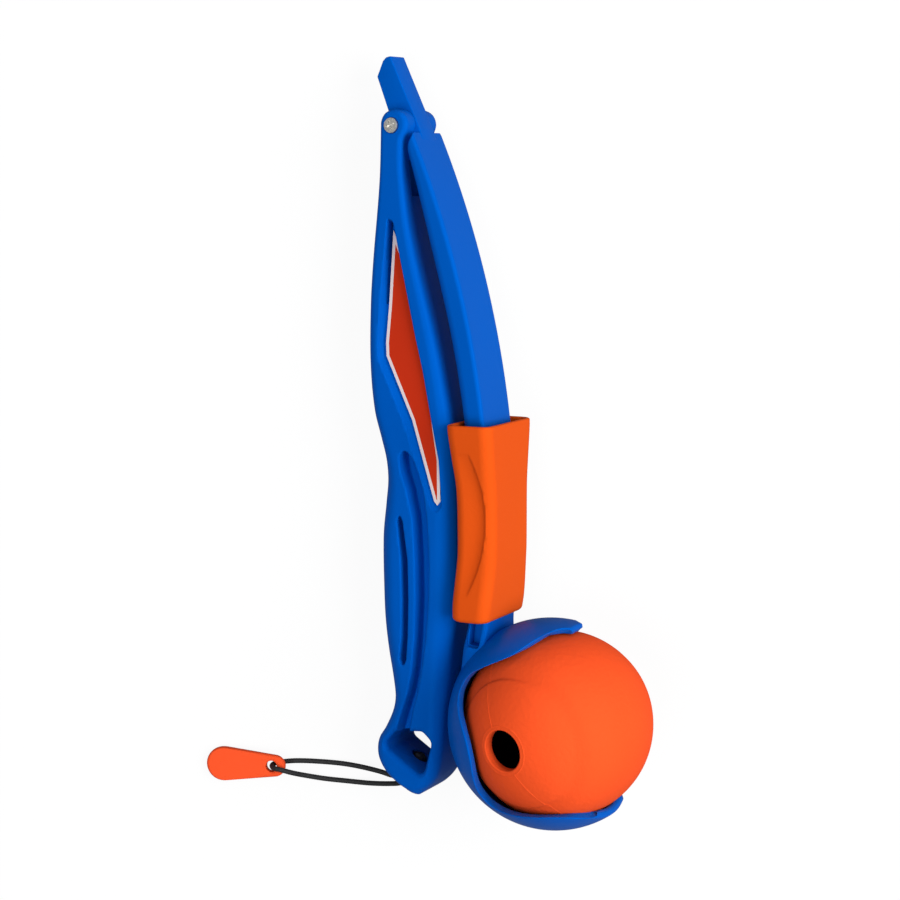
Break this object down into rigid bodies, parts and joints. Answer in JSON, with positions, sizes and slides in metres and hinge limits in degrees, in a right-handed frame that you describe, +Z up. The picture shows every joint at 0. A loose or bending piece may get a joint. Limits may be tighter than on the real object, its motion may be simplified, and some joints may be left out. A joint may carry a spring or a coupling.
{
  "type": "folding dog ball launcher",
  "caption": "Folding ball launcher for dogs, folded on its back: moulded handle, curved arm with a scooped cup, locking sleeve, ball, and a pull tag on a cord.",
  "frame": {"origin": "on the floor, under the middle of the folded launcher without its cord and tag", "axes": "+Y along the handle towards the hinge, +X towards the arm and the cup, +Z up from the floor"},
  "size_m": [0.157, 0.2599, 0.0693],
  "materials": {
    "blue_plastic": "satin moulded plastic",
    "orange_plastic": "smooth moulded plastic",
    "label_print": "printed film",
    "label_edge": "printed film",
    "ball_rubber": "soft matt rubber",
    "tag_rubber": "smooth rubber",
    "cord_fabric": "braided cord",
    "steel": "plated fasteners"
  },
  "bodies": {
    "handle": {"handle": "blue_plastic", "label_panel": "label_print", "label_border": "label_edge", "pivot_barrel": "steel", "pivot_screw": "steel", "lanyard_cord": "cord_fabric", "cord_knot": "cord_fabric", "pull_tag": "tag_rubber"},
    "arm": {"throwing_arm": "blue_plastic"},
    "sleeve": {"locking_sleeve": "orange_plastic"},
    "ball": {"ball": "ball_rubber"}
  },
  "joints": [
    {"name": "fold", "type": "hinge", "parent": "handle", "child": "arm", "pos_m": [-0.036, 0.1077, 0.01406], "axis": [-0.4256, -0.0091, 0.9049], "range_deg": [0, 155]},
    {"name": "sleeve_slide", "type": "hinge", "parent": "arm", "child": "sleeve", "pos_m": [-0.31284, -0.03361, -0.11757], "axis": [-0.4256, -0.0091, 0.9049], "range_deg": [0, 12]},
    {"name": "ball_spin", "type": "hinge", "parent": "arm", "child": "ball", "pos_m": [0.01707, -0.09304, 0.03701], "axis": [-0.6054, -0.1047, 0.789], "continuous": true}
  ]
}
